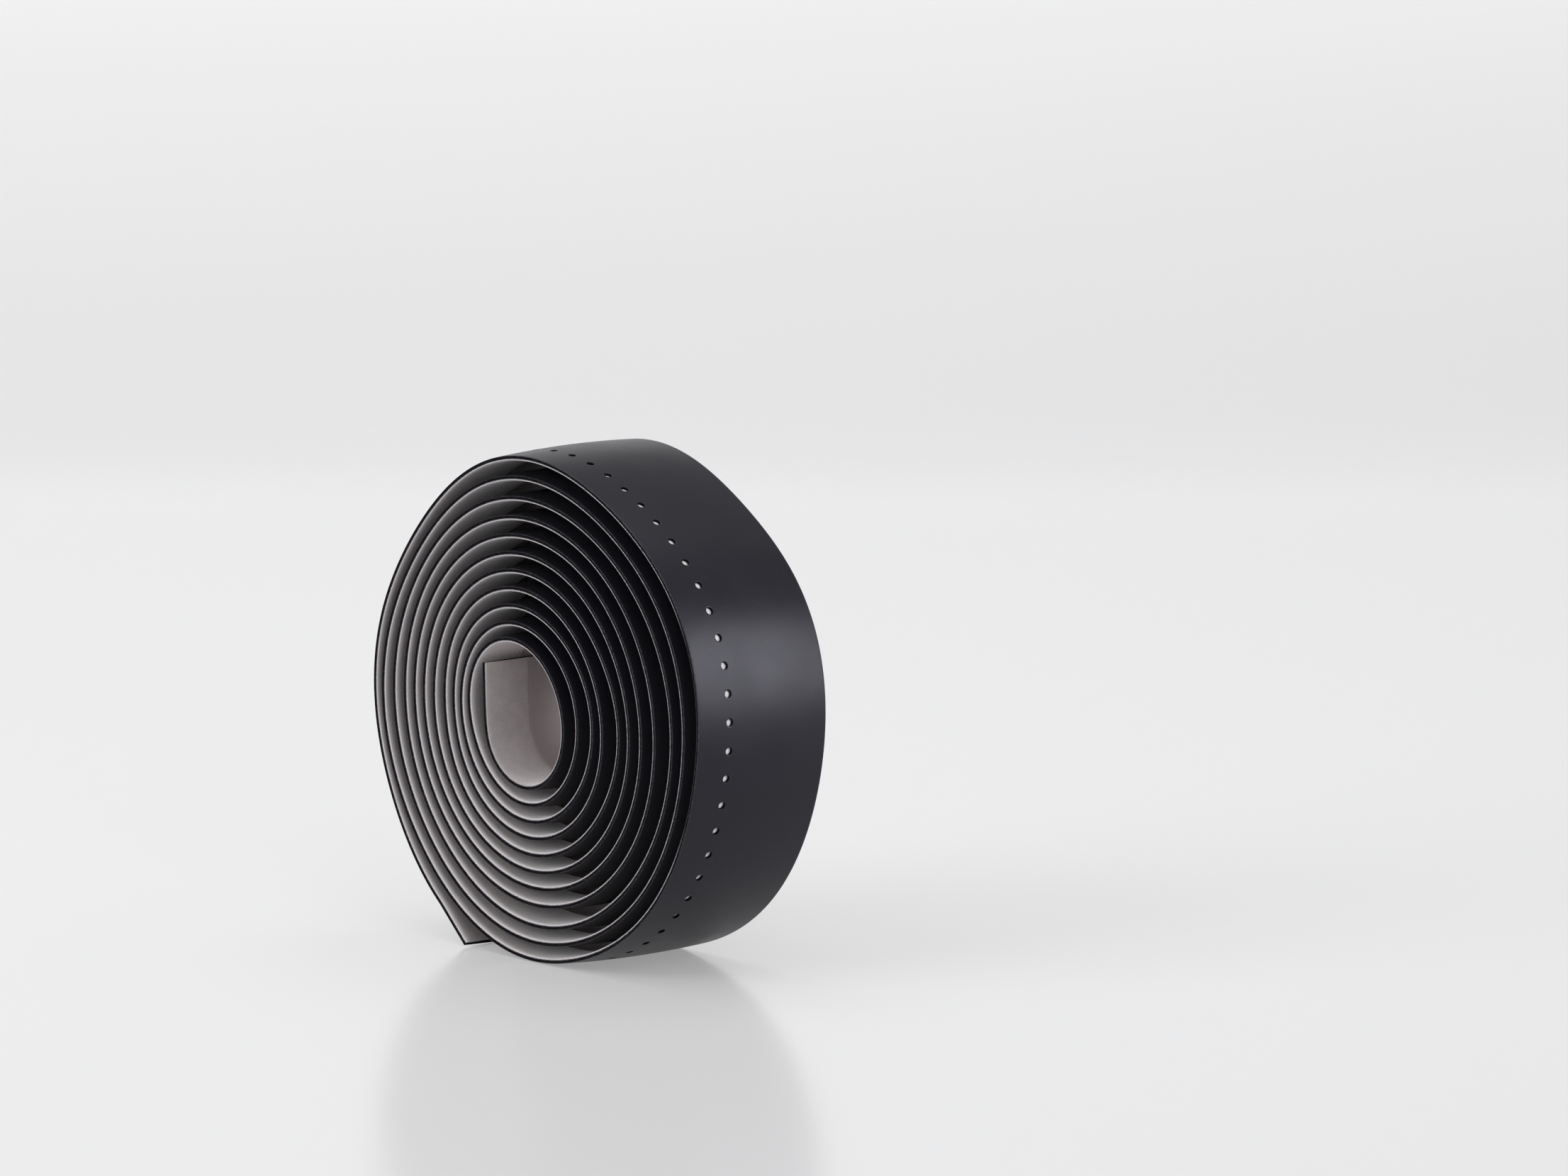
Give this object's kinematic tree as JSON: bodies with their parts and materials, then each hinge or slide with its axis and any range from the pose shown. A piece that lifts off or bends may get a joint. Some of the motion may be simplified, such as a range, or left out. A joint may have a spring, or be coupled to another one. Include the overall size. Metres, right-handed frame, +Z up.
{
  "type": "handlebar tape roll",
  "caption": "Roll of padded, perforated handlebar tape with a release liner on its back, loosely wound and standing on its rim.",
  "frame": {"origin": "on the floor, under the middle of the roll", "axes": "+Z up, +X across the roll, away from its tail, +Y along the roll's axis, away from the row of perforations"},
  "size_m": [0.093, 0.03, 0.0936],
  "materials": {
    "tape": "smooth matt charcoal skin on dark foam, with a warm grey suede back",
    "release_liner": "thin smooth film, warm grey, with faint creases"
  },
  "bodies": {
    "root": {"tape": "tape", "release_liner": "release_liner"}
  },
  "joints": []
}
